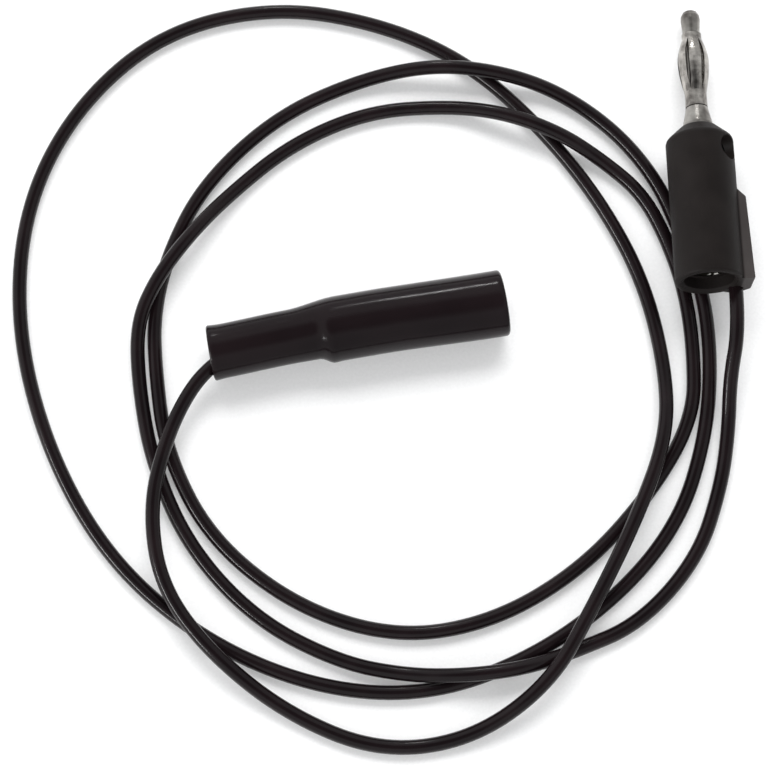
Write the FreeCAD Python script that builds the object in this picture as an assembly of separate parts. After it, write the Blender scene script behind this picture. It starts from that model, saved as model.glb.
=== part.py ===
"""Ground lead: a stackable 4 mm banana plug, a thin PVC cord and an insulated alligator clip.

Millimetres, +Z up, the lead lying on the plane z = 0. The origin is under the middle of the
plug and the clip together. +X runs from the clip to the plug, +Y the way the plug points.
"""

import FreeCAD, Part

import math
import os

V = FreeCAD.Vector

# Banana plug, in its own frame: the axis is +Y, the rear face at y = 0.
PLUG_AT = V(31.23, -14.02, 7.29)  # middle of the rear face
PLUG_YAW = 1.3
PLUG_NOSE_DOWN = 7.3
SHELL_R = 4.7
SHELL_LENGTH = 23.0
SHELL_NOSE_R = 2.6
SHELL_NOSE_LENGTH = 2.0
SHELL_NOSE_FILLET = 0.9
SHELL_REAR_FILLET = 0.4
SHELL_BORE_R = 2.86
SHELL_MOUTH_R = 3.5
SHELL_MOUTH_DEPTH = 1.95
SHELL_MOUTH_BEVEL = 0.4
SHELL_FRONT_WALL = 4.2
SLEEVE_R = 2.8
SLEEVE_BEVEL = 0.2
SOCKET_R = 2.05
SOCKET_DEPTH = 12.2
SOCKET_LEAD = 0.3
SOCKET_DRILL_POINT = 0.9
PIN_LENGTH = 18.4
PIN_ROOT_R = 1.7
MOULDED_GAP = 0.05  # between the metal and the shell round it
COLLAR_R = 2.1
COLLAR_LENGTH = 3.1
COLLAR_LAND = 0.5
PIN_NECK_R = 0.95
PIN_HEAD_R = 1.38
PIN_HEAD_REAR_R = 1.18
PIN_HEAD_LENGTH = 3.6
PIN_HEAD_WIDEST = 1.5  # back from the tip
PIN_HEAD_DOME = 0.9
PIN_HEAD_FLAT_R = 0.55
CAGE_RING_R = 1.55
CAGE_FRONT_RING_R = 1.38
CAGE_THICKNESS = 0.3
CAGE_BULGE_R = 2.19
CAGE_BULGE_AT = 0.58  # share of the leaf's length, from the collar
CAGE_END_GAP = 0.15
CAGE_REAR_RING = 2.3
CAGE_FRONT_RING = 0.8
CAGE_LEAVES = 6
CAGE_SLIT_WIDTH = 0.56
CAGE_SLIT_POINT = 2.0  # length over which a slit narrows to nothing at each end
SCREW_HOLE_R = 1.8  # in the shell, wide enough for the key and a view of the screw
SCREW_THREAD_R = 1.5  # in the brass
SCREW_R = 1.45
SCREW_ANGLE = 52.0  # from the top, towards +X
SCREW_BEHIND_NOSE = 4.1
SCREW_TOP_R = 3.2
SCREW_TIP_R = 1.55
SCREW_KEY_R = 0.75
SCREW_KEY_DEPTH = 1.1
SCREW_BEVEL = 0.2
BOSS_OUT = 6.15
BOSS_OUT_FRONT = 5.7
BOSS_LENGTH = 12.2
BOSS_BEVEL = 1.8
BOSS_TOP = 1.9
BOSS_TOP_OUTER = 1.3
BOSS_BOTTOM = -4.1
BOSS_CORNER = 1.3
BOSS_INNER_CORNER = 3.4
BOSS_FILLET = 0.35

# Cord: PVC over fine copper strands.
CORD_R = 1.0
STRAND_R = 0.5
STRAND_GAP = 0.08
CHANNEL_R = 1.06
CHANNEL_AT = (4.0, -2.7)  # from the plug's axis, across and up
CHANNEL_DEPTH = 11.0

# Alligator clip and its boot, in their own frame: the axis is +X, the neck's rim at x = 0.
CLIP_AT = V(-37.1, -23.4, 4.6)
CLIP_YAW = 10.1
BOOT_LENGTH = 40.9
BOOT_R = 4.6
BOOT_WALL = 0.7
NECK_LENGTH = 14.4
NECK_R = 3.5
NECK_RIM_R = 3.66
NECK_RIM_FLARE = 4.0
NECK_BORE_R = 2.95
SHOULDER_LENGTH = 2.8
METAL = 0.45  # sheet steel
PIVOT = V(25.5, 0, -0.6)
JAW_TIP = 37.0
JAW_MEET = -1.0  # height of the line where the teeth meet
JAW_HALF_WIDTH = 1.55
EAR_HALF_WIDTH = 2.1
EAR_FROM = 23.4
EAR_TO = 27.6
TROUGH_FROM = 17.9
TROUGH_BOTTOM = -3.1
TROUGH_SIDE = -1.6
EAR_TOP = 0.5
HANDLE_FROM = 18.4
HANDLE_TOP = 3.2
JAW_TOP = 1.7
JAW_TIP_TOP = -0.1
JAW_TIP_BOTTOM = -2.0
TOOTH_PITCH = 1.0
TOOTH_DEPTH = 0.5
TOOTH_FROM = 30.5
TOOTH_GAP = 0.12
JAW_TIP_DRAWN_IN = 0.4
FOLD_R = 1.2
STRAP_HALF_WIDTH = 0.8
RIVET_R = 0.6
RIVET_FIT = 0.05
RIVET_HEAD_R = 0.95
RIVET_HEAD = 0.3
SPRING_WIRE_R = 0.2
SPRING_COIL_R = 1.1
SPRING_TURNS = 2
SPRING_PITCH = 0.42
SPRING_LOWER_SLOPE = 10.0
SPRING_UPPER_SLOPE = 12.0
SPRING_LOWER_LEG = 4.1
SPRING_UPPER_LEG = 5.0
BARREL_R = 1.45
BARREL_FROM = 8.0
BARREL_TO = 15.0
BARREL_BORE_R = 1.04
BARREL_Z = -0.9
STRIPPED_FROM = 12.5
STRIPPED_LENGTH = 5.5
TAIL_FROM = 7.8  # where the cord inside the clip begins, well inside the neck

# The cord's route, from the plug's boss to the end held in the clip, inside the boot's neck.
FLOOR = 1.0
OVER = 3.2
ROUTE = [
    (35.24, -14.27, 4.61), (35.37, -20.0, 5.35), (34.3, -26.6, 3.1), (34.2, -33.4, FLOOR),
    (33.0, -41.0, FLOOR), (29.6, -51.0, FLOOR), (21.5, -60.0, FLOOR), (12.4, -63.8, 1.0),
    (5.5, -66.2, 3.3), (-2.5, -67.2, 3.3), (-10.5, -67.0, 1.4), (-19.5, -65.2, FLOOR),
    (-30.7, -59.5, FLOOR), (-39.9, -49.7, FLOOR), (-45.2, -38.0, FLOOR), (-47.3, -27.0, FLOOR),
    (-47.6, -18.5, 2.2), (-44.8, -12.3, 3.3), (-40.4, -6.2, 3.3), (-35.3, 0.0, 1.2),
    (-26.5, 7.6, FLOOR), (-15.5, 12.5, FLOOR), (-4.0, 13.2, 1.2), (4.0, 11.5, OVER),
    (11.5, 8.6, OVER), (17.5, 5.2, 1.2), (23.0, 0.5, FLOOR), (26.3, -6.0, FLOOR),
    (28.7, -13.5, FLOOR), (29.7, -22.0, FLOOR), (29.5, -31.5, FLOOR), (23.6, -41.8, FLOOR),
    (13.9, -52.5, FLOOR), (1.6, -59.8, FLOOR), (-11.5, -62.0, FLOOR), (-25.3, -57.8, FLOOR),
    (-37.2, -48.4, FLOOR), (-43.4, -36.2, FLOOR), (-45.0, -25.0, FLOOR), (-45.4, -17.0, FLOOR),
    (-43.6, -8.5, FLOOR), (-38.8, 1.7, FLOOR), (-28.7, 11.6, FLOOR), (-17.0, 17.1, 1.0),
    (-6.5, 18.7, OVER), (3.0, 17.7, OVER), (11.5, 15.4, 1.1), (19.5, 9.6, FLOOR),
    (25.2, 2.3, FLOOR), (28.3, -5.4, FLOOR), (31.3, -13.8, FLOOR), (32.1, -24.0, FLOOR),
    (31.0, -34.5, FLOOR), (27.2, -46.0, FLOOR), (18.8, -56.2, FLOOR), (6.2, -65.0, FLOOR),
    (-8.0, -69.8, FLOOR), (-23.0, -68.6, FLOOR), (-38.2, -62.1, FLOOR), (-51.1, -51.1, FLOOR),
    (-60.0, -35.5, FLOOR), (-64.6, -18.0, FLOOR), (-63.7, -1.0, FLOOR), (-56.9, 13.3, FLOOR),
    (-45.0, 24.3, FLOOR), (-29.0, 28.2, FLOOR), (-13.5, 25.5, FLOOR), (-1.0, 19.5, FLOOR),
    (9.0, 10.0, FLOOR), (17.0, -0.5, FLOOR), (22.9, -12.0, FLOOR), (25.7, -24.5, FLOOR),
    (25.5, -34.5, 2.9), (21.0, -46.0, OVER), (15.1, -57.5, 3.6), (9.0, -68.2, 4.1),
    (-1.5, -75.6, FLOOR), (-14.0, -77.2, FLOOR), (-26.5, -72.1, FLOOR), (-37.0, -63.8, OVER),
    (-43.5, -55.0, OVER), (-45.2, -44.5, OVER), (-43.2, -35.2, OVER), (-40.1, -28.4, 3.5),
    (-36.75, -24.6, 3.75), (-33.26, -22.72, 3.7), (-29.42, -22.03, 3.7),
]


def polygon(points, along):
    """The solid of a closed outline pushed along a vector."""
    face = Part.Face(Part.makePolygon(points + [points[0]]))
    return face.extrude(along)


def turned(profile, axis):
    """The solid of an outline of (along, radius) pairs turned about +X or +Y."""
    across = V(0, 0, 1)
    points = [axis * a + across * r for a, r in profile]
    face = Part.Face(Part.makePolygon(points + [points[0]]))
    return face.revolve(V(0, 0, 0), axis, 360)


def tube(points, radius):
    """A round bar along straight runs joined by tangent arcs. Gives the solid and its facts."""
    edges = []
    radii = []
    start = points[0]
    for before, corner, after in zip(points, points[1:], points[2:]):
        back = before - corner
        on = after - corner
        trim = 0.45 * min(back.Length, on.Length)
        turn = math.pi - back.getAngle(on)
        first = corner + back.normalize() * trim
        last = corner + on.normalize() * trim
        radii.append(trim / math.tan(turn / 2))
        bisector = (back + on).normalize()
        middle = corner + bisector * (radii[-1] / math.cos(turn / 2) - radii[-1])
        edges.append(Part.LineSegment(start, first).toShape())
        edges.append(Part.Arc(first, middle, last).toShape())
        start = last
    edges.append(Part.LineSegment(start, points[-1]).toShape())
    path = Part.Wire(edges)
    end = Part.Wire(Part.makeCircle(radius, points[0], points[1] - points[0]))
    solid = path.makePipeShell([end], True, False)
    return solid, path.Length, radii


def drilled(at, axis, radius, length):
    """A straight round bar, or what a drill takes away."""
    return Part.makeCylinder(radius, length, at, axis)


def largest(shape):
    """The one solid that is the piece, without the scraps that a cut leaves."""
    return max(shape.Solids, key=lambda solid: solid.Volume)


# ---------------------------------------------------------------- banana plug


def screw_axis():
    """The way the set screw points, out of the barrel."""
    angle = math.radians(SCREW_ANGLE)
    return V(math.sin(angle), 0, math.cos(angle))


def screw_foot():
    """Where the screw's axis meets the plug's."""
    return V(0, SHELL_LENGTH - SCREW_BEHIND_NOSE, 0)


def wire_points():
    """The stripped strands run from the boss's channel in to the screw's tip."""
    aim = screw_axis()
    seat = screw_foot() + aim * (SCREW_TIP_R - STRAND_R - STRAND_GAP)
    start = V(CHANNEL_AT[0], CHANNEL_DEPTH, CHANNEL_AT[1])
    return [start, start + V(0, 1.6, 0), seat - V(0, 1.8, 0), seat + V(0, 1.2, 0)]


def wire_way(extra):
    """The room that the stripped strands take, or the strands themselves with no extra."""
    points = wire_points()
    solid, _, _ = tube(points, STRAND_R + extra)
    return solid


def boss():
    """The rib along one side of the plug that takes the cord."""
    outline = [
        V(0, 0, BOSS_BOTTOM + BOSS_CORNER),
        V(BOSS_INNER_CORNER, 0, BOSS_BOTTOM),
        V(BOSS_OUT - BOSS_CORNER, 0, BOSS_BOTTOM),
        V(BOSS_OUT, 0, BOSS_BOTTOM + BOSS_CORNER),
        V(BOSS_OUT, 0, BOSS_TOP_OUTER),
        V(0, 0, BOSS_TOP),
    ]
    block = polygon(outline, V(0, BOSS_LENGTH + BOSS_BEVEL, 0))
    plan = [
        V(0, 0, -SHELL_R),
        V(BOSS_OUT, 0, -SHELL_R),
        V(BOSS_OUT_FRONT, BOSS_LENGTH, -SHELL_R),
        V(BOSS_OUT_FRONT - BOSS_BEVEL, BOSS_LENGTH + BOSS_BEVEL, -SHELL_R),
        V(0, BOSS_LENGTH + BOSS_BEVEL, -SHELL_R),
    ]
    body = block.common(polygon(plan, V(0, 0, 2 * SHELL_R)))
    outside = [e for e in body.Edges if e.BoundBox.XMin > BOSS_OUT_FRONT - BOSS_BEVEL - 0.01]
    return body.makeFillet(BOSS_FILLET, outside)


def plug_barrel():
    """The outside of the moulded barrel, its nose drawn in to the pin."""
    nose = SHELL_LENGTH - SHELL_NOSE_LENGTH
    outline = [(0, 0), (0, SHELL_R), (nose, SHELL_R), (SHELL_LENGTH, SHELL_NOSE_R), (SHELL_LENGTH, 0)]
    barrel = turned(outline, V(0, 1, 0))
    rings = [e for e in barrel.Edges if e.BoundBox.YLength < 0.01]
    rear = [e for e in rings if abs(e.BoundBox.Center.y) < 0.01]
    front = [e for e in rings if abs(e.BoundBox.Center.y - nose) < 0.01]
    return barrel.makeFillet(SHELL_NOSE_FILLET, front).makeFillet(SHELL_REAR_FILLET, rear)


def plug_cavity():
    """The room inside the barrel: the rear mouth, the sleeve's bore and the hole in the nose."""
    mouth = [
        (-1, 0), (-1, SHELL_MOUTH_R + SHELL_MOUTH_BEVEL), (0, SHELL_MOUTH_R + SHELL_MOUTH_BEVEL),
        (SHELL_MOUTH_BEVEL, SHELL_MOUTH_R), (SHELL_MOUTH_DEPTH, SHELL_MOUTH_R),
    ]
    wall = SHELL_LENGTH - SHELL_FRONT_WALL
    hole = PIN_ROOT_R + MOULDED_GAP
    bore = [
        (SHELL_MOUTH_DEPTH, SHELL_BORE_R), (wall, SHELL_BORE_R), (wall, hole),
        (SHELL_LENGTH + 1, hole), (SHELL_LENGTH + 1, 0),
    ]
    return turned(mouth + bore, V(0, 1, 0))


def plug_shell():
    """Moulded insulating barrel: open at the rear, with a boss for the cord and a screw hole."""
    channel_foot = V(CHANNEL_AT[0], -1, CHANNEL_AT[1])
    shell = plug_barrel().fuse(boss()).removeSplitter()
    shell = shell.cut(plug_cavity())
    shell = shell.cut(drilled(channel_foot, V(0, 1, 0), CHANNEL_R, CHANNEL_DEPTH + 1 + MOULDED_GAP))
    shell = shell.cut(drilled(screw_foot(), screw_axis(), SCREW_HOLE_R, 2 * SHELL_R))
    return largest(shell.cut(wire_way(STRAND_GAP)))


def core_outline():
    """Half section of the turned brass, from the rear of the sleeve to the tip of the pin."""
    tip = SHELL_LENGTH + PIN_LENGTH
    head = tip - PIN_HEAD_LENGTH
    collar = SHELL_LENGTH + MOULDED_GAP
    neck = SHELL_LENGTH + COLLAR_LENGTH
    sleeve_end = SHELL_LENGTH - SHELL_FRONT_WALL - MOULDED_GAP
    sleeve = [
        (SHELL_MOUTH_DEPTH, 0), (SHELL_MOUTH_DEPTH, SLEEVE_R - SLEEVE_BEVEL),
        (SHELL_MOUTH_DEPTH + SLEEVE_BEVEL, SLEEVE_R), (sleeve_end, SLEEVE_R), (sleeve_end, PIN_ROOT_R),
    ]
    root = [
        (collar, PIN_ROOT_R), (collar, COLLAR_R), (collar + COLLAR_LAND, COLLAR_R),
        (neck, CAGE_RING_R), (neck, PIN_NECK_R),
    ]
    end = [
        (head, PIN_NECK_R), (head, PIN_HEAD_REAR_R), (tip - PIN_HEAD_WIDEST, PIN_HEAD_R),
        (tip - PIN_HEAD_DOME, 0.96 * PIN_HEAD_R), (tip - 0.35 * PIN_HEAD_DOME, 0.75 * PIN_HEAD_R),
        (tip, PIN_HEAD_FLAT_R), (tip, 0),
    ]
    return sleeve + root + end


def plug_core():
    """Turned brass, nickel plated: the rear socket, the solid middle and the pin in one piece."""
    core = turned(core_outline(), V(0, 1, 0))
    rear = SHELL_MOUTH_DEPTH
    bottom = rear + SOCKET_DEPTH
    socket = turned(
        [(rear - 1, 0), (rear - 1, SOCKET_R + SOCKET_LEAD), (rear, SOCKET_R + SOCKET_LEAD),
         (rear + SOCKET_LEAD, SOCKET_R), (bottom, SOCKET_R), (bottom + SOCKET_DRILL_POINT, 0)],
        V(0, 1, 0))
    seat = screw_foot() + screw_axis() * (SCREW_TIP_R - MOULDED_GAP)
    core = core.cut(socket)
    core = core.cut(drilled(seat, screw_axis(), SCREW_THREAD_R, 2 * SHELL_R))
    return largest(core.cut(wire_way(STRAND_GAP)))


def leaf_radius(share):
    """Outer radius of a cage leaf, from the collar's ring (0) to the head's ring (1)."""
    if share < CAGE_BULGE_AT:
        ring = CAGE_RING_R
        part = share / CAGE_BULGE_AT
    else:
        ring = CAGE_FRONT_RING_R
        part = (1 - share) / (1 - CAGE_BULGE_AT)
    return ring + (CAGE_BULGE_R - ring) * math.sin(part * math.pi / 2)


def lantern_spring():
    """Sheet spring with bowed leaves between two rings, loose on the pin's neck."""
    start = SHELL_LENGTH + COLLAR_LENGTH + CAGE_END_GAP
    end = SHELL_LENGTH + PIN_LENGTH - PIN_HEAD_LENGTH - CAGE_END_GAP
    leaf_from = start + CAGE_REAR_RING
    leaf_to = end - CAGE_FRONT_RING
    steps = 12
    shares = [i / steps for i in range(steps + 1)]
    bow = [(leaf_from + share * (leaf_to - leaf_from), leaf_radius(share)) for share in shares]
    outer = [(start, CAGE_RING_R)] + bow + [(end, CAGE_FRONT_RING_R)]
    inner = [(a, r - CAGE_THICKNESS) for a, r in reversed(outer)]
    cage = turned(outer + inner, V(0, 1, 0))
    for i in range(CAGE_LEAVES):
        cage = cage.cut(leaf_slit(360 / CAGE_LEAVES * (i + 0.5), leaf_from, leaf_to))
    return largest(cage)


def leaf_slit(angle, rear, front):
    """The slit between two leaves, pointed at both ends, pushed out from inside the cage."""
    out = V(math.sin(math.radians(angle)), 0, math.cos(math.radians(angle)))
    half = V(out.z, 0, -out.x) * (CAGE_SLIT_WIDTH / 2)
    foot = out * (PIN_NECK_R / 2)
    stations = [rear + CAGE_SLIT_POINT, front - CAGE_SLIT_POINT]
    near = [foot + half + V(0, a, 0) for a in stations]
    far = [foot - half + V(0, a, 0) for a in reversed(stations)]
    return polygon([foot + V(0, rear, 0)] + near + [foot + V(0, front, 0)] + far, out * SHELL_R)


def set_screw():
    """Grub screw that clamps the strands, with a hexagon for its key."""
    axis = screw_axis()
    foot = screw_foot()
    screw = drilled(foot + axis * SCREW_TIP_R, axis, SCREW_R, SCREW_TOP_R - SCREW_TIP_R)
    rims = [e for e in screw.Edges if e.Curve.TypeId == "Part::GeomCircle"]
    screw = screw.makeChamfer(SCREW_BEVEL, rims)
    across = V(0, 1, 0)
    other = axis.cross(across)
    top = foot + axis * (SCREW_TOP_R + 0.1)
    corners = []
    for i in range(6):
        angle = math.radians(60 * i)
        corners.append(top + (across * math.cos(angle) + other * math.sin(angle)) * SCREW_KEY_R)
    return largest(screw.cut(polygon(corners, axis * -(SCREW_KEY_DEPTH + 0.1))))


def plug_cord_end():
    """The insulated cord inside the boss, from the rear face to where it is stripped."""
    start = V(CHANNEL_AT[0], 0, CHANNEL_AT[1])
    return drilled(start, V(0, 1, 0), CORD_R, CHANNEL_DEPTH)


# ---------------------------------------------------------------- alligator clip


def clip_boot():
    """Soft PVC sleeve over the whole clip: a narrow neck, a shoulder and an open mouth."""
    shoulder = NECK_LENGTH + SHOULDER_LENGTH
    outer = [
        (0, NECK_RIM_R), (NECK_RIM_FLARE, NECK_R), (NECK_LENGTH, NECK_R), (shoulder, BOOT_R - 0.1),
        (shoulder + 3, BOOT_R), (BOOT_LENGTH - 0.3, BOOT_R), (BOOT_LENGTH, BOOT_R - 0.2),
    ]
    inner = [
        (BOOT_LENGTH, BOOT_R - BOOT_WALL), (shoulder, BOOT_R - BOOT_WALL),
        (NECK_LENGTH + 1.2, NECK_BORE_R), (0, NECK_BORE_R),
    ]
    return turned(outer + inner, V(1, 0, 0))


def teeth(direction):
    """The serrated edge from the tip back, as points along x and z."""
    points = []
    count = int((JAW_TIP - 0.4 - TOOTH_FROM) / TOOTH_PITCH)
    for i in range(count, -1, -1):
        x = TOOTH_FROM + i * TOOTH_PITCH
        points.append((x + TOOTH_PITCH / 2, JAW_MEET + direction * TOOTH_GAP / 2 - TOOTH_DEPTH / 2))
        points.append((x, JAW_MEET + direction * TOOTH_GAP / 2 + TOOTH_DEPTH / 2))
    return points


def side_profile(pairs, half_width):
    """An outline in x and z pushed across the clip's width."""
    points = [V(x, -half_width, z) for x, z in pairs]
    return polygon(points, V(0, 2 * half_width, 0))


def plan_profile(pairs):
    """A symmetrical outline in x and y, pushed through the clip's height."""
    low = BOOT_R * 2
    left = [V(x, y, -low) for x, y in pairs]
    right = [V(x, -y, -low) for x, y in reversed(pairs)]
    return polygon(left + right, V(0, 0, 2 * low))


def jaw_plan(half_width, tip_at):
    """The jaws seen from above: parallel past the rivet, then drawn in to the tip."""
    slim = half_width - EAR_HALF_WIDTH + JAW_HALF_WIDTH
    return plan_profile([(TROUGH_FROM - 2, half_width), (EAR_TO + 1.2, half_width), (EAR_TO + 2.4, slim),
                         (tip_at, slim - JAW_TIP_DRAWN_IN)])


def trough():
    """The lower jaw's folded sheet: floor, sides, ears and teeth."""
    floor = [(TROUGH_FROM, TROUGH_BOTTOM), (EAR_TO, TROUGH_BOTTOM), (JAW_TIP, JAW_TIP_BOTTOM)]
    notch = [(EAR_TO + 0.7, JAW_MEET - 0.3)]
    ear = [(EAR_TO, EAR_TOP), (EAR_FROM, EAR_TOP), (EAR_FROM - 0.8, TROUGH_SIDE), (TROUGH_FROM, TROUGH_SIDE)]
    body = side_profile(floor + teeth(-1) + notch + ear, EAR_HALF_WIDTH)
    low = [e for e in body.Edges if e.BoundBox.YLength < 0.01 and e.BoundBox.ZMax < JAW_TIP_BOTTOM + 0.01]
    body = body.makeFillet(FOLD_R, [e for e in low if e.BoundBox.XLength > 3])
    inside = [(TROUGH_FROM - 1, TROUGH_BOTTOM + METAL), (EAR_TO, TROUGH_BOTTOM + METAL),
              (JAW_TIP - METAL, JAW_TIP_BOTTOM + METAL), (JAW_TIP - METAL, BOOT_R), (TROUGH_FROM - 1, BOOT_R)]
    hollow = side_profile(inside, EAR_HALF_WIDTH).common(jaw_plan(EAR_HALF_WIDTH - METAL, JAW_TIP - METAL))
    return body.common(jaw_plan(EAR_HALF_WIDTH, JAW_TIP)).cut(hollow)


def fixed_jaw():
    """Pressed steel trough with ears for the rivet, a serrated edge and a crimp for the cord."""
    under = BARREL_Z - BARREL_R
    strap = side_profile(
        [(BARREL_TO - 0.5, under + METAL), (BARREL_TO - 0.5, under), (TROUGH_FROM + 0.3, TROUGH_BOTTOM),
         (TROUGH_FROM + 0.3, TROUGH_BOTTOM + METAL)], STRAP_HALF_WIDTH)
    crimp = drilled(V(BARREL_FROM, 0, BARREL_Z), V(1, 0, 0), BARREL_R, BARREL_TO - BARREL_FROM)
    through = drilled(V(BARREL_FROM - 1, 0, BARREL_Z), V(1, 0, 0), BARREL_BORE_R, BARREL_TO - BARREL_FROM + 2)
    hole = drilled(PIVOT - V(0, BOOT_R, 0), V(0, 1, 0), RIVET_R, 2 * BOOT_R)
    body = trough().fuse([strap, crimp])
    return largest(body.cut(through).cut(hole))


def moving_jaw():
    """Pressed steel channel that rocks on the rivet, with a thumb handle behind it."""
    under = [(EAR_TO + 1.0, JAW_MEET + 0.3), (EAR_TO - 0.6, PIVOT.z - 1.0), (EAR_FROM + 0.8, PIVOT.z - 1.0),
             (EAR_FROM - 1.2, 1.0), (HANDLE_FROM, HANDLE_TOP - 1.1)]
    top = [(HANDLE_FROM, HANDLE_TOP), (HANDLE_FROM + 1.5, HANDLE_TOP), (EAR_FROM, JAW_TOP), (EAR_TO, JAW_TOP),
           (JAW_TIP, JAW_TIP_TOP)]
    slim = JAW_HALF_WIDTH
    thin = slim - METAL
    body = side_profile(teeth(1) + under + top, slim)
    plan = plan_profile([(HANDLE_FROM - 1, slim), (EAR_TO + 1.2, slim), (JAW_TIP, slim - JAW_TIP_DRAWN_IN)])
    inner = plan_profile([(HANDLE_FROM - 2, thin), (EAR_TO + 1.2, thin),
                          (JAW_TIP - METAL, thin - JAW_TIP_DRAWN_IN)])
    room = [(JAW_TIP - METAL, -BOOT_R), (JAW_TIP - METAL, JAW_TIP_TOP - METAL), (EAR_TO, JAW_TOP - METAL),
            (EAR_FROM, JAW_TOP - METAL), (HANDLE_FROM + 1.5, HANDLE_TOP - METAL),
            (HANDLE_FROM - 1, HANDLE_TOP - METAL), (HANDLE_FROM - 1, -BOOT_R)]
    hole = drilled(PIVOT - V(0, BOOT_R, 0), V(0, 1, 0), RIVET_R + RIVET_FIT, 2 * BOOT_R)
    body = body.common(plan).cut(side_profile(room, slim).common(inner))
    return largest(body.cut(hole))


def pivot_rivet():
    """Steel rivet through both pairs of ears, headed over outside them."""
    reach = EAR_HALF_WIDTH + RIVET_HEAD
    shank = drilled(PIVOT - V(0, reach, 0), V(0, 1, 0), RIVET_R, 2 * reach)
    near = drilled(PIVOT - V(0, reach, 0), V(0, 1, 0), RIVET_HEAD_R, RIVET_HEAD)
    far = drilled(PIVOT + V(0, EAR_HALF_WIDTH, 0), V(0, 1, 0), RIVET_HEAD_R, RIVET_HEAD)
    return largest(shank.fuse([near, far]))


def jaw_spring():
    """Torsion spring round the rivet. One leg lies in the trough, one under the handle."""
    low = -90 + SPRING_LOWER_SLOPE
    high = 90 - SPRING_UPPER_SLOPE + 360 * SPRING_TURNS
    width = SPRING_PITCH * (high - low) / 360
    helix = Part.makeHelix(SPRING_PITCH, width, SPRING_COIL_R)
    helix.rotate(V(0, 0, 0), V(0, 0, 1), low)
    helix.rotate(V(0, 0, 0), V(1, 0, 0), 90)
    helix.translate(PIVOT + V(0, width / 2, 0))
    first = helix.Edges[0]
    last = helix.Edges[-1]
    start = first.valueAt(first.FirstParameter)
    end = last.valueAt(last.LastParameter)
    lower_tip = start - first.tangentAt(first.FirstParameter) * SPRING_LOWER_LEG
    upper_tip = end + last.tangentAt(last.LastParameter) * SPRING_UPPER_LEG
    lower_leg = Part.LineSegment(lower_tip, start).toShape()
    upper_leg = Part.LineSegment(end, upper_tip).toShape()
    path = Part.Wire([lower_leg] + helix.Edges + [upper_leg])
    ring = Part.Wire(Part.makeCircle(SPRING_WIRE_R, lower_tip, start - lower_tip))
    return path.makePipeShell([ring], True, False)


def clip_cord_end():
    """The last of the insulated cord, held in the crimp. It slides with the clip."""
    return drilled(V(TAIL_FROM, 0, BARREL_Z), V(1, 0, 0), CORD_R, STRIPPED_FROM - TAIL_FROM)


def clip_wire_strands():
    """Stripped strands from the crimp forward over the strap."""
    start = V(STRIPPED_FROM, 0, BARREL_Z)
    return drilled(start, V(1, 0, 0), STRAND_R, STRIPPED_LENGTH)


# ---------------------------------------------------------------- assembly


def on_plug(shape):
    """Puts a shape of the plug's own frame where the plug lies."""
    placed = shape.copy()
    placed.rotate(V(0, 0, 0), V(1, 0, 0), -PLUG_NOSE_DOWN)
    placed.rotate(V(0, 0, 0), V(0, 0, 1), PLUG_YAW)
    placed.translate(PLUG_AT)
    return placed


def on_clip(shape):
    """Puts a shape of the clip's own frame where the clip lies."""
    placed = shape.copy()
    placed.rotate(V(0, 0, 0), V(0, 0, 1), CLIP_YAW)
    placed.translate(CLIP_AT)
    return placed


def cord():
    """The loose cord between the plug and the clip."""
    points = [V(*point) for point in ROUTE]
    solid, length, radii = tube(points, CORD_R)
    print("cord: length %.1f mm, bend radii %s" % (length, [round(r, 1) for r in radii]))
    print("cord: tightest bend %.1f mm" % min(radii))
    print("cord: volume over section times length %.4f" % (solid.Volume / (math.pi * CORD_R**2 * length)))
    return solid


NODES = {
    "plug_shell": on_plug(plug_shell()),
    "plug_core": on_plug(plug_core()),
    "lantern_spring": on_plug(lantern_spring()),
    "set_screw": on_plug(set_screw()),
    "plug_cord_end": on_plug(plug_cord_end()),
    "plug_wire_strands": on_plug(wire_way(0)),
    "cord": cord(),
    "clip_boot": on_clip(clip_boot()),
    "fixed_jaw": on_clip(fixed_jaw()),
    "moving_jaw": on_clip(moving_jaw()),
    "pivot_rivet": on_clip(pivot_rivet()),
    "jaw_spring": on_clip(jaw_spring()),
    "clip_cord_end": on_clip(clip_cord_end()),
    "clip_wire_strands": on_clip(clip_wire_strands()),
}

os.makedirs("parts", exist_ok=True)
for name, shape in NODES.items():
    shape.exportStep("parts/%s.step" % name)
    box = shape.optimalBoundingBox(False)
    print(name, "solids", len(shape.Solids), "valid", shape.isValid(), "volume %.2f" % shape.Volume)
    print("    x %.2f..%.2f  y %.2f..%.2f  z %.2f..%.2f" % (
        box.XMin, box.XMax, box.YMin, box.YMax, box.ZMin, box.ZMax))

claimed = FreeCAD.BoundBox()
for name, shape in NODES.items():
    if name != "cord":
        claimed.add(shape.optimalBoundingBox(False))
print("plug and clip: middle %.3f, %.3f  low %.3f" % (claimed.Center.x, claimed.Center.y, claimed.ZMin))
print("cord leaves the plug at", on_plug(Part.Vertex(CHANNEL_AT[0], 0, CHANNEL_AT[1])).Point)
print("cord meets the clip's own end at", on_clip(Part.Vertex(TAIL_FROM, 0, BARREL_Z)).Point)
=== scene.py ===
"""Looks for a grounding lead: a stackable banana plug, a thin PVC cord in loose loops and a
booted alligator clip. Metres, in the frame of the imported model."""

import math

import bmesh
import bpy
from mathutils import Matrix, Vector


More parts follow.
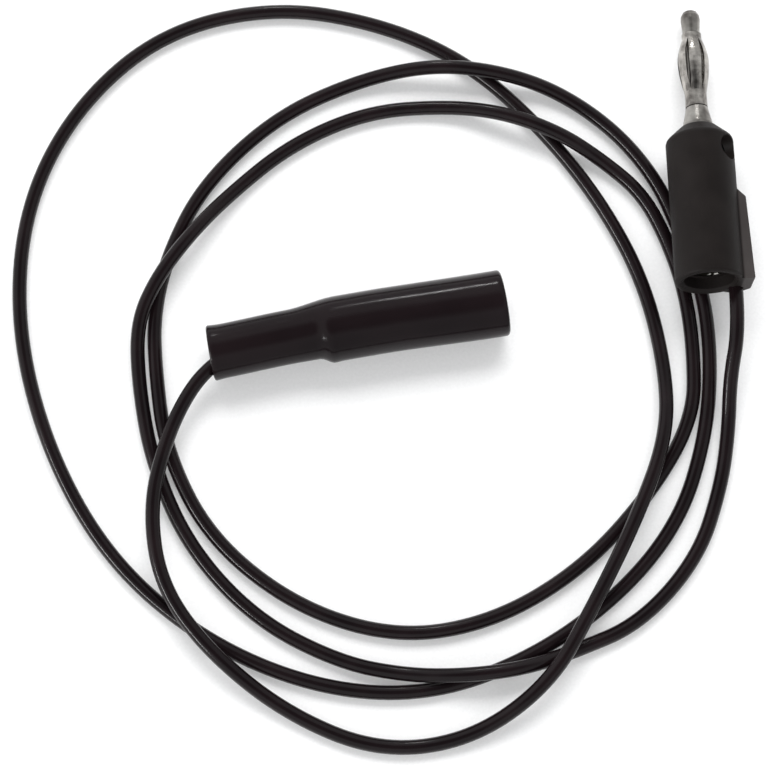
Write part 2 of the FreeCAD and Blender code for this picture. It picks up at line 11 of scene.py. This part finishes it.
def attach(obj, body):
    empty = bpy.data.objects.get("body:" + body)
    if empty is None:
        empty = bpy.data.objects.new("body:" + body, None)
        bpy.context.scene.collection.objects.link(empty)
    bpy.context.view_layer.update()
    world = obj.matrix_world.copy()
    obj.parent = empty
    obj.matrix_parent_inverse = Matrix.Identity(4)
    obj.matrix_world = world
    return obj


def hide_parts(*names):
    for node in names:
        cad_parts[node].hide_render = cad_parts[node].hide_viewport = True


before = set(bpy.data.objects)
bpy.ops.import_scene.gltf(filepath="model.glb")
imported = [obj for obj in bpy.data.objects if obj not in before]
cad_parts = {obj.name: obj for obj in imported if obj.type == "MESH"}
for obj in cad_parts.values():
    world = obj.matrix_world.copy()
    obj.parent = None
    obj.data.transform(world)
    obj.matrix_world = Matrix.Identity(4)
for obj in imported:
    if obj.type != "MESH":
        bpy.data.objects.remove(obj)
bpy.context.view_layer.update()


# ------------------------------------------------------------------ table, lights and camera
# A sheet of white paper on a table, in an evenly lit room with a dark ceiling. A wide lamp
# beyond the lead casts the shadows. A low strip on the left and a small far window give the
# highlights, and the camera is almost straight above.

MM = 0.001


def linear(hex_colour):
    """An sRGB hex colour as linear red, green, blue and alpha."""
    parts = [int(hex_colour[i:i + 2], 16) / 255 for i in (0, 2, 4)]
    curved = [p / 12.92 if p <= 0.04045 else ((p + 0.055) / 1.055) ** 2.4 for p in parts]
    return (*curved, 1.0)


def output_of(source):
    """A node's first output, or the output itself."""
    return source.outputs[0] if isinstance(source, bpy.types.Node) else source


def add_node(tree, kind, settings=None, links=None):
    """One shader node, with its settings, its socket values and what is linked into it."""
    node = tree.nodes.new("ShaderNode" + kind)
    for name, value in (settings or {}).items():
        if name == "tones":
            for element, (position, hex_colour) in zip(node.color_ramp.elements, value):
                element.position = position
                element.color = linear(hex_colour)
        elif name in node.inputs:
            node.inputs[name].default_value = value
        else:
            setattr(node, name, value)
    for socket, source in (links or {}).items():
        tree.links.new(output_of(source), node.inputs[socket])
    return node


def new_material(name, **sockets):
    """A material with one surface shader, whose uniform values go straight on its sockets."""
    made = bpy.data.materials.new(name)
    made.use_nodes = True
    tree = made.node_tree
    tree.nodes.clear()
    shader = add_node(tree, "BsdfPrincipled")
    for socket, value in sockets.items():
        shader.inputs[socket.replace("_", " ")].default_value = value
    add_node(tree, "OutputMaterial", links={"Surface": shader})
    return made, tree, shader


def laid(tree, kind, settings, stretch=(1, 1, 1), turn=(0, 0, 0)):
    """A pattern fixed to the piece, stretched and turned the way its surface was worked."""
    place = add_node(tree, "TexCoord")
    stretched = add_node(tree, "Mapping", {"Scale": stretch, "Rotation": turn},
                         {"Vector": place.outputs["Object"]})
    return add_node(tree, kind, settings, {"Vector": stretched}).outputs["Fac"]


def surface(tree, shader, colour, roughness, normal):
    """Joins the worked-out colour, roughness and relief to the surface shader."""
    tree.links.new(output_of(colour), shader.inputs["Base Color"])
    tree.links.new(output_of(roughness), shader.inputs["Roughness"])
    tree.links.new(output_of(normal), shader.inputs["Normal"])


def coated_paper():
    """Matt coated paper: nearly white, with a trace of tooth."""
    made, tree, shader = new_material("matt_coated_paper", Specular_IOR_Level=0.1)
    tooth = laid(tree, "TexNoise", {"Scale": 1 / (0.4 * MM), "Detail": 3.0})
    surface(
        tree, shader,
        add_node(tree, "ValToRGB", {"tones": ((0.35, "f2f2f2"), (0.7, "f7f7f7"))}, {"Fac": tooth}),
        add_node(tree, "MapRange", {"To Min": 0.85, "To Max": 0.95}, {"Value": tooth}),
        add_node(tree, "Bump", {"Strength": 0.2, "Distance": 0.01 * MM}, {"Height": tooth}))
    return made


sheet_size = 3.0
corners = [(-1, -1), (1, -1), (1, 1), (-1, 1)]
sheet_mesh = bpy.data.meshes.new("paper_sheet")
sheet_mesh.from_pydata([(x * sheet_size / 2, y * sheet_size / 2, 0) for x, y in corners],
                       [], [(0, 1, 2, 3)])
paper_sheet = bpy.data.objects.new("paper_sheet", sheet_mesh)
bpy.context.collection.objects.link(paper_sheet)
paper_sheet.data.materials.append(coated_paper())

aim = Vector((-13.1, -27.3, 0)) * MM  # the point that the camera and the lamps face
tilt = math.radians(79)
distance = 0.300
camera_data = bpy.data.cameras.new("camera")
camera_data.sensor_width = 36
camera_data.lens = 100.2
camera_data.clip_start = 0.01
camera_data.clip_end = 10
camera = bpy.data.objects.new("camera", camera_data)
camera.location = aim + Vector((0, -math.cos(tilt), math.sin(tilt))) * distance
camera.rotation_euler = (math.pi / 2 - tilt, 0, 0)
bpy.context.collection.objects.link(camera)
bpy.context.scene.camera = camera


def panel(name, azimuth, elevation, away, size, watts, shadows=True, glare=True):
    """An oblong lamp that faces the middle of the lead, and may be kept out of its gloss."""
    across, up = math.radians(azimuth), math.radians(elevation)
    way = Vector((math.cos(up) * math.cos(across), math.cos(up) * math.sin(across), math.sin(up)))
    light_data = bpy.data.lights.new(name, "AREA")
    light_data.shape = "RECTANGLE"
    light_data.size, light_data.size_y = size
    light_data.energy = watts
    light_data.use_shadow = shadows
    light = bpy.data.objects.new(name, light_data)
    light.location = aim + way * away
    light.rotation_euler = way.to_track_quat("Z", "Y").to_euler()
    light.visible_glossy = glare
    bpy.context.collection.objects.link(light)


panel("soft_lamp", 88, 52, 1.00, (0.8, 0.4), 6.5, glare=False)
panel("left_lamp", 208, 26, 0.75, (0.45, 0.05), 3.2, shadows=False)
panel("far_window", 94.5, 25, 0.90, (0.06, 0.03), 0.50, shadows=False)

wall_strength = 0.98
ceiling_strength = 0.15
ceiling_from = 0.80  # as the sine of the angle above the table
ceiling_to = 0.95
shade_from = -0.1  # towards the right, 1 at the far right
shade_to = 0.8
dark_side = 0.7  # how much of its light the right side keeps
world = bpy.data.worlds.new("room")
world.use_nodes = True
room = world.node_tree
towards = add_node(room, "TexCoord")
facing = add_node(room, "SeparateXYZ", links={"Vector": towards.outputs["Generated"]})
ceiling = add_node(room, "MapRange",
                   {"From Min": ceiling_from, "From Max": ceiling_to,
                    "To Min": wall_strength, "To Max": ceiling_strength},
                   {"Value": facing.outputs["Z"]})
right = add_node(room, "MapRange",
                 {"From Min": shade_from, "From Max": shade_to, "To Min": 1.0, "To Max": dark_side},
                 {"Value": facing.outputs["X"]})
both = add_node(room, "Math", {"operation": "MULTIPLY"}, {0: ceiling, 1: right})
room.nodes["Background"].inputs["Color"].default_value = linear("f6f7f8")
room.links.new(output_of(both), room.nodes["Background"].inputs["Strength"])
bpy.context.scene.world = world
bpy.context.scene.view_settings.view_transform = "Standard"


# ------------------------------------------------------------------ cord
# Black PVC drawn over fine copper strands, limp enough to lie in loose loops. It runs from
# the plug's boss to the crimp inside the boot's neck.

cord_radius = 1.0 * MM
floor = 1.0  # height in mm of the cord's middle line where it lies on the paper
over = 3.2  # and where it crosses over another strand
route = [
    (35.24, -14.27, 4.61), (35.37, -20.0, 5.35), (34.3, -26.6, 3.1), (34.2, -33.4, floor),
    (33.0, -41.0, floor), (29.6, -51.0, floor), (21.5, -60.0, floor), (12.4, -63.8, floor),
    (5.5, -66.2, 3.3), (-2.5, -67.2, 3.3), (-10.5, -67.0, 1.4), (-19.5, -65.2, floor),
    (-30.7, -59.5, floor), (-39.9, -49.7, floor), (-45.2, -38.0, floor), (-47.3, -27.0, floor),
    (-47.6, -18.5, 2.2), (-44.8, -12.3, 3.3), (-40.4, -6.2, 3.3), (-35.3, 0.0, 1.2),
    (-26.5, 7.6, floor), (-15.5, 12.5, floor), (-4.0, 13.2, 1.2), (4.0, 11.5, over),
    (11.5, 8.6, over), (17.5, 5.2, 1.2), (23.0, 0.5, floor), (26.3, -6.0, floor),
    (28.7, -13.5, floor), (29.7, -22.0, floor), (29.5, -31.5, floor), (23.6, -41.8, floor),
    (13.9, -52.5, floor), (1.6, -59.8, floor), (-11.5, -62.0, floor), (-25.3, -57.8, floor),
    (-37.2, -48.4, floor), (-43.4, -36.2, floor), (-45.0, -25.0, floor), (-45.4, -17.0, floor),
    (-43.6, -8.5, floor), (-38.8, 1.7, floor), (-28.7, 11.6, floor), (-17.0, 17.1, floor),
    (-6.5, 18.7, over), (3.0, 17.7, over), (11.5, 15.4, 1.1), (19.5, 9.6, floor),
    (25.2, 2.3, floor), (28.3, -5.4, floor), (31.3, -13.8, floor), (32.1, -24.0, floor),
    (31.0, -34.5, floor), (27.2, -46.0, floor), (18.8, -56.2, floor), (6.2, -65.0, floor),
    (-8.0, -69.8, floor), (-23.0, -68.6, floor), (-38.2, -62.1, floor), (-51.1, -51.1, floor),
    (-60.0, -35.5, floor), (-64.6, -18.0, floor), (-63.7, -1.0, floor), (-56.9, 13.3, floor),
    (-45.0, 24.3, floor), (-29.0, 28.2, floor), (-13.5, 25.5, floor), (-1.0, 19.5, floor),
    (9.0, 10.0, floor), (17.0, -0.5, floor), (22.9, -12.0, floor), (25.7, -24.5, floor),
    (25.5, -34.5, 2.9), (21.0, -46.0, over), (15.1, -57.5, 3.6), (9.0, -68.2, 4.1),
    (-1.5, -75.6, floor), (-14.0, -77.2, floor), (-26.5, -72.1, floor), (-37.0, -63.8, over),
    (-43.5, -55.0, over), (-45.2, -44.5, over), (-43.2, -35.2, over), (-40.1, -28.4, 3.5),
    (-36.75, -24.6, 3.75), (-33.26, -22.72, 3.7), (-29.42, -22.03, 3.7),
]


def drawn_pvc():
    """Soft PVC drawn through a die: black, dull gloss, faintly uneven along its length."""
    made, tree, shader = new_material("drawn_black_pvc", IOR=1.53, Specular_IOR_Level=0.20)
    mottle = laid(tree, "TexNoise", {"Scale": 1 / (6 * MM), "Detail": 4.0})
    skin = laid(tree, "TexNoise", {"Scale": 1 / (0.35 * MM), "Detail": 3.0})
    surface(
        tree, shader,
        add_node(tree, "ValToRGB", {"tones": ((0.35, "110b0d"), (0.7, "1a1214"))}, {"Fac": mottle}),
        add_node(tree, "MapRange", {"To Min": 0.14, "To Max": 0.22}, {"Value": mottle}),
        add_node(tree, "Bump", {"Strength": 0.5, "Distance": 0.012 * MM}, {"Height": skin}))
    return made


cord_curve = bpy.data.curves.new("cord_sheath", "CURVE")
cord_curve.dimensions = "3D"
cord_curve.bevel_depth = cord_radius
cord_curve.bevel_resolution = 8
cord_curve.resolution_u = 12
cord_curve.use_fill_caps = True
spline = cord_curve.splines.new("NURBS")
spline.points.add(len(route) - 1)
for point, (x, y, z) in zip(spline.points, route):
    point.co = (x * MM, y * MM, z * MM, 1)
spline.order_u = 3
spline.use_endpoint_u = True
cord = bpy.data.objects.new("cord_sheath", cord_curve)
bpy.context.collection.objects.link(cord)
cord_pvc = drawn_pvc()
cord.data.materials.append(cord_pvc)
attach(cord, "root")
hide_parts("cord")


def finish(material, *names):
    """Gives CAD pieces their material."""
    for name in names:
        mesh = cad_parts[name].data
        mesh.materials.clear()
        mesh.materials.append(material)


finish(cord_pvc, "plug_cord_end", "clip_cord_end")


# ------------------------------------------------------------------ plug barrel
# The plug's insulating barrel, moulded in black polyamide in a spark-eroded tool, so it is
# matt, with a fine even grain. The cord's boss is part of the same moulding.

plug_rear = Vector((31.23, -14.02, 7.29)) * MM
plug_yaw = math.radians(1.3)
# The boss is painted a lighter grey than the barrel. This is painted light for the light that its top
# face catches.
boss_from = 4.45  # across from the barrel's middle line
boss_front = 14.2  # along from the rear face
boss_edge = 0.3  # width of the change from one grey to the other


def along_plug(tree):
    """Across (X) and along (Y) the plug, from the middle of its rear face."""
    to_plug = Matrix.Rotation(-plug_yaw, 4, "Z")
    place = add_node(tree, "TexCoord")
    on_plug = add_node(tree, "Mapping",
                       {"Rotation": (0, 0, -plug_yaw), "Location": -(to_plug @ plug_rear)},
                       {"Vector": place.outputs["Object"]})
    return add_node(tree, "SeparateXYZ", links={"Vector": on_plug})


def eroded_polyamide():
    """Black polyamide from a spark-eroded tool: dull, evenly grained, with painted light that makes
    the boss greyer.
    """
    made, tree, shader = new_material("eroded_black_polyamide", IOR=1.53, Specular_IOR_Level=0.14)
    cloud = laid(tree, "TexNoise", {"Scale": 1 / (5 * MM), "Detail": 2.0})
    # The real grain is several times finer, and wouldn't show.
    grain = laid(tree, "TexNoise", {"Scale": 1 / (0.16 * MM), "Detail": 2.0})
    flow = laid(tree, "TexNoise", {"Scale": 1 / (1.6 * MM), "Detail": 3.0}, stretch=(1, 0.2, 1))
    at = along_plug(tree)
    outward = add_node(tree, "MapRange",
                       {"From Min": boss_from * MM, "From Max": (boss_from + boss_edge) * MM},
                       {"Value": at.outputs["X"]})
    rearward = add_node(tree, "MapRange",
                        {"From Min": (boss_front + boss_edge) * MM, "From Max": boss_front * MM},
                        {"Value": at.outputs["Y"]})
    painted_light_on_boss = add_node(tree, "Math", {"operation": "MULTIPLY"}, {0: outward, 1: rearward})
    barrel = add_node(tree, "ValToRGB", {"tones": ((0.35, "151110"), (0.7, "1c1817"))}, {"Fac": cloud})
    # Painted light: the boss's lighter grey stands in for light falling on its top face.
    boss = add_node(tree, "ValToRGB", {"tones": ((0.35, "3a3635"), (0.7, "423e3d"))}, {"Fac": cloud})
    # A mix node's colours go by place, because its sockets for numbers have the same names.
    colour = add_node(tree, "Mix", {"data_type": "RGBA"}, {0: painted_light_on_boss, 6: barrel, 7: boss})
    streaks = add_node(tree, "Bump", {"Strength": 0.4, "Distance": 0.02 * MM}, {"Height": flow})
    surface(
        tree, shader, colour.outputs[2],
        add_node(tree, "MapRange", {"To Min": 0.5, "To Max": 0.66}, {"Value": grain}),
        add_node(tree, "Bump", {"Strength": 0.6, "Distance": 0.02 * MM},
                 {"Height": grain, "Normal": streaks}))
    return made


finish(eroded_polyamide(), "plug_shell")


# ------------------------------------------------------------------ pin and rear socket
# One bar of brass, turned and plated with bright nickel. The pin carries a lantern spring
# pressed from thin spring bronze, plated the same way, which turns freely on the pin's neck.

# Painted shade broken by painted glints covers the nickel from the rear face to here, at the socket's
# rim.
painted_shade_to = 2.6  # along from the plug's rear face
painted_shade_edge = 0.4


def turned_nickel():
    """Bright nickel over turned brass: fine rings round the bar, with painted shade and painted glints
    at the socket's rim.
    """
    made, tree, shader = new_material("turned_bright_nickel", Metallic=1.0)
    rings = laid(tree, "TexNoise", {"Scale": 1 / (0.22 * MM), "Detail": 2.0},
                 stretch=(0.04, 1, 0.04), turn=(0, 0, -plug_yaw))
    haze = laid(tree, "TexNoise", {"Scale": 1 / (2.5 * MM), "Detail": 3.0})
    glint_noise = laid(tree, "TexNoise", {"Scale": 1 / (0.9 * MM), "Detail": 1.0})
    ahead = add_node(tree, "MapRange",
                     {"From Min": painted_shade_to * MM, "From Max": (painted_shade_to + painted_shade_edge) * MM},
                     {"Value": along_plug(tree).outputs["Y"]})
    # The rim's dark tone is painted shade in the socket's recess, and the bright spots in it are
    # painted glints.
    rim = add_node(tree, "ValToRGB", {"tones": ((0.56, "14120f"), (0.62, "c9c7c2"))}, {"Fac": glint_noise})
    plain_nickel = add_node(tree, "ValToRGB", {"tones": ((0.35, "625e5a"), (0.7, "a8a5a0"))}, {"Fac": haze})
    colour = add_node(tree, "Mix", {"data_type": "RGBA"}, {0: ahead, 6: rim, 7: plain_nickel})
    surface(
        tree, shader, colour.outputs[2],
        add_node(tree, "MapRange", {"To Min": 0.22, "To Max": 0.38}, {"Value": haze}),
        add_node(tree, "Bump", {"Strength": 0.6, "Distance": 0.02 * MM}, {"Height": rings}))
    return made


def pressed_nickel():
    """Bright nickel over thin spring bronze: drawn lengthwise, bright where rubbing has worn it."""
    made, tree, shader = new_material("pressed_bright_nickel", Metallic=1.0)
    drawn = laid(tree, "TexNoise", {"Scale": 1 / (0.25 * MM), "Detail": 2.0},
                 stretch=(1, 0.06, 1), turn=(0, 0, -plug_yaw))
    haze = laid(tree, "TexNoise", {"Scale": 1 / (1.8 * MM), "Detail": 3.0})
    surface(
        tree, shader,
        add_node(tree, "ValToRGB", {"tones": ((0.35, "6e6a66"), (0.7, "c4c0ba"))}, {"Fac": haze}),
        add_node(tree, "MapRange", {"To Min": 0.14, "To Max": 0.28}, {"Value": haze}),
        add_node(tree, "Bump", {"Strength": 0.7, "Distance": 0.03 * MM}, {"Height": drawn}))
    return made


finish(turned_nickel(), "plug_core")
finish(pressed_nickel(), "lantern_spring")


# ------------------------------------------------------------------ set screw and strands
# A socket-headed grub screw, blackened in oil, clamps the bare ends of the cord's fine copper
# strands against the solid middle of the plug. The clip crimps the strands at the other end.


def blackened_steel():
    """Oil-blackened steel: nearly black, dull, worn in small patches."""
    made, tree, shader = new_material("oil_blackened_steel", Metallic=1.0)
    wear = laid(tree, "TexNoise", {"Scale": 1 / (0.5 * MM), "Detail": 4.0})
    surface(
        tree, shader,
        add_node(tree, "ValToRGB", {"tones": ((0.45, "141414"), (0.8, "2c2b2a"))}, {"Fac": wear}),
        add_node(tree, "MapRange", {"To Min": 0.35, "To Max": 0.55}, {"Value": wear}),
        add_node(tree, "Bump", {"Strength": 0.4, "Distance": 0.01 * MM}, {"Height": wear}))
    return made


def bunched_copper():
    """A bunch of bare copper strands: each one shows as a slanting ridge."""
    made, tree, shader = new_material("bunched_copper_strands", Metallic=1.0)
    # The ridges are about 0.7 mm apart. Real strands of 0.1 mm would be too fine to show.
    ridges = laid(tree, "TexWave", {"Scale": 1 / (2.2 * MM), "Distortion": 0.6},
                  turn=(0.5, 0.3, 0.6))
    surface(
        tree, shader,
        add_node(tree, "ValToRGB", {"tones": ((0.1, "6b3421"), (0.8, "c77a52"))}, {"Fac": ridges}),
        add_node(tree, "MapRange", {"To Min": 0.40, "To Max": 0.28}, {"Value": ridges}),
        add_node(tree, "Bump", {"Strength": 1.0, "Distance": 0.05 * MM}, {"Height": ridges}))
    return made


finish(blackened_steel(), "set_screw")
finish(bunched_copper(), "plug_wire_strands", "clip_wire_strands")


# ------------------------------------------------------------------ alligator clip
# Two jaws pressed from thin steel sheet and nickel plated, on a steel rivet, shut by a spring
# wound from hard-drawn wire. The boot hides them until it is pushed back.

clip_yaw = math.radians(10.1)


def plated_sheet():
    """Dull nickel over rolled steel sheet: long rolling marks, small dull spots."""
    made, tree, shader = new_material("nickel_plated_sheet", Metallic=1.0)
    rolled = laid(tree, "TexNoise", {"Scale": 1 / (0.3 * MM), "Detail": 3.0},
                  stretch=(0.06, 1, 1), turn=(0, 0, -clip_yaw))
    spots = laid(tree, "TexNoise", {"Scale": 1 / (0.9 * MM), "Detail": 4.0})
    surface(
        tree, shader,
        add_node(tree, "ValToRGB", {"tones": ((0.35, "8b8883"), (0.7, "bcb9b3"))}, {"Fac": spots}),
        add_node(tree, "MapRange", {"To Min": 0.22, "To Max": 0.42}, {"Value": spots}),
        add_node(tree, "Bump", {"Strength": 0.5, "Distance": 0.01 * MM}, {"Height": rolled}))
    return made


def drawn_wire():
    """Hard-drawn spring wire: grey steel with fine marks from the die."""
    made, tree, shader = new_material("hard_drawn_spring_wire", Metallic=1.0)
    marks = laid(tree, "TexNoise", {"Scale": 1 / (0.15 * MM), "Detail": 3.0})
    surface(
        tree, shader,
        add_node(tree, "ValToRGB", {"tones": ((0.35, "6f6d6a"), (0.7, "98958f"))}, {"Fac": marks}),
        add_node(tree, "MapRange", {"To Min": 0.25, "To Max": 0.40}, {"Value": marks}),
        add_node(tree, "Bump", {"Strength": 0.6, "Distance": 0.005 * MM}, {"Height": marks}))
    return made


finish(plated_sheet(), "fixed_jaw", "moving_jaw", "pivot_rivet")
finish(drawn_wire(), "jaw_spring")


# ------------------------------------------------------------------ boot
# A sleeve of soft black PVC, dipped on a polished former, so its skin is glossy and faintly
# wavy. It is stretched over the clip, and its narrow neck holds it on the cord's end.

boot_foot = Vector((-37.1, -23.4, 4.6)) * MM
boot_length = 40.9
boot_wall = 0.7
neck_radius = 3.74
body_radius = 4.5
mouth_radius = 4.6
left_shoulder = (11.0, 18.0)  # from and to, along from the neck's end
right_shoulder = (14.7, 16.6)
ridge_at = 16.7  # a low swelling at the foot of the steep shoulder
ridge_height = 0.08
ridge_width = 0.7
neck_rim = 0.12  # the thick lip that the dipping leaves at the neck's end
neck_rim_width = 1.1
rest_height = -4.58  # where the soft wall flattens on the paper, below the boot's axis
end_gap = 0.25  # from the outside's first and last stations to the boot's ends
stations = 93
boot_sides = 96


def eased(value, start, end):
    """0 before the start, 1 after the end, and a soft slope between."""
    share = min(1.0, max(0.0, (value - start) / (end - start)))
    return share * share * (3 - 2 * share)


def boot_bow(x):
    """How far the boot's middle line leans to the left of its axis, in mm."""
    return 0.06 + 0.36 * eased(x, 0, 12) - 0.42 * eased(x, 22, 41)


def boot_radius(x, angle):
    """The boot's outside: a neck, a shoulder that is long on the left and steep on the right."""
    left = (math.cos(angle) + 1) / 2
    shoulder = eased(x, *left_shoulder) * left + eased(x, *right_shoulder) * (1 - left)
    ridge = ridge_height * (1 - left) * math.exp(-((x - ridge_at) / ridge_width) ** 2)
    rim = neck_rim * math.exp(-(x / neck_rim_width) ** 2)
    flare = (mouth_radius - body_radius) * eased(x, 26, 41)
    return neck_radius + (body_radius - neck_radius) * shoulder + flare + ridge + rim


def boot_ring(mesh, x, shrink):
    """One ring of the sleeve's skin, with the angle counted from the boot's left side."""
    ring = []
    for i in range(boot_sides):
        angle = 2 * math.pi * i / boot_sides
        radius = boot_radius(x, angle) - shrink
        y = boot_bow(x) + radius * math.cos(angle)
        z = max(rest_height + shrink, radius * math.sin(angle))
        ring.append(mesh.verts.new(Vector((x, y, z)) * MM))
    return ring


def boot_profile():
    """Places along the boot and depths below its outside: from the mouth's inner wall, round
    its lip, back along the outside, and in at the neck."""
    span = boot_length - 2 * end_gap
    outside = [(end_gap + i * span / (stations - 1), 0.0) for i in range(stations)]
    mouth_lip = [(boot_length, 0.55), (boot_length + 0.14, 0.35), (boot_length, 0.12)]
    neck_lip = [(0.06, 0.10), (-0.04, 0.32), (0.06, 0.56)]
    mouth_inside = [(17.5 + i * 3.9, boot_wall) for i in range(6)]
    neck_inside = [(x, boot_wall) for x in (0.3, 3.0, 8.0, 14.0)]
    return mouth_inside + mouth_lip + outside[::-1] + neck_lip + neck_inside


boot_mesh = bmesh.new()
rings = [boot_ring(boot_mesh, x, shrink) for x, shrink in boot_profile()]
for near, far in zip(rings, rings[1:] + rings[:1]):
    for i in range(boot_sides):
        j = (i + 1) % boot_sides
        boot_mesh.faces.new((near[i], near[j], far[j], far[i]))
bmesh.ops.recalc_face_normals(boot_mesh, faces=boot_mesh.faces)
boot_data = bpy.data.meshes.new("clip_boot_skin")
boot_mesh.to_mesh(boot_data)
boot_mesh.free()
for face in boot_data.polygons:
    face.use_smooth = True
boot_data.transform(Matrix.Translation(boot_foot) @ Matrix.Rotation(clip_yaw, 4, "Z"))
boot = bpy.data.objects.new("clip_boot_skin", boot_data)
bpy.context.collection.objects.link(boot)


def dipped_pvc():
    """Dip-moulded soft PVC: black, glossy, with a slow waviness and a few fine scuffs."""
    made, tree, shader = new_material("dipped_black_pvc", IOR=1.53, Specular_IOR_Level=0.12)
    slow = laid(tree, "TexNoise", {"Scale": 1 / (7 * MM), "Detail": 2.0}, stretch=(0.5, 1, 1))
    scuffs = laid(tree, "TexNoise", {"Scale": 1 / (0.5 * MM), "Detail": 4.0}, stretch=(0.3, 1, 1))
    waves = add_node(tree, "Bump", {"Strength": 0.5, "Distance": 0.25 * MM}, {"Height": slow})
    surface(
        tree, shader,
        add_node(tree, "ValToRGB", {"tones": ((0.35, "140e10"), (0.7, "1b1416"))}, {"Fac": slow}),
        add_node(tree, "MapRange", {"To Min": 0.10, "To Max": 0.24}, {"Value": scuffs}),
        add_node(tree, "Bump", {"Strength": 0.4, "Distance": 0.008 * MM},
                 {"Height": scuffs, "Normal": waves}))
    return made


boot.data.materials.append(dipped_pvc())
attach(boot, "root")
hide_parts("clip_boot")
